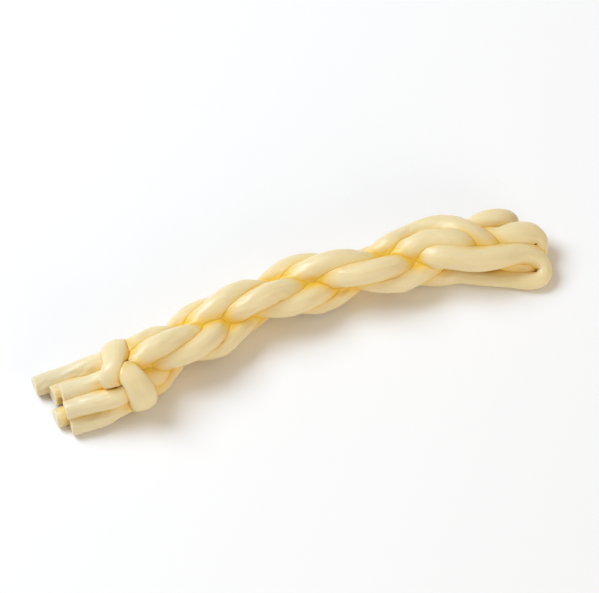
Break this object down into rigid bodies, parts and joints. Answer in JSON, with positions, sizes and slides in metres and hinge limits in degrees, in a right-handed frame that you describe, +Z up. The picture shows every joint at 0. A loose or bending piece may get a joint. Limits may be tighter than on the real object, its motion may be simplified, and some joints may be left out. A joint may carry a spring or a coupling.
{
  "type": "braided string cheese",
  "caption": "Long strands of pale string cheese folded in half and laid together as a thick cord, with open loops at one end and cut ends past a wound strand at the other.",
  "frame": {"origin": "on the surface that the cheese lies on, at the middle of its length and width", "axes": "+X along the cord from the cut ends to the loops, +Y across it, +Z up"},
  "size_m": [0.152, 0.0328, 0.0189],
  "materials": {
    "cheese": "smooth, waxy and slightly translucent pale cream-yellow cheese, deeper yellow in the grooves"
  },
  "bodies": {
    "root": {"strand_far": "cheese", "strand_middle": "cheese", "strand_near": "cheese", "tie": "cheese"}
  },
  "joints": []
}
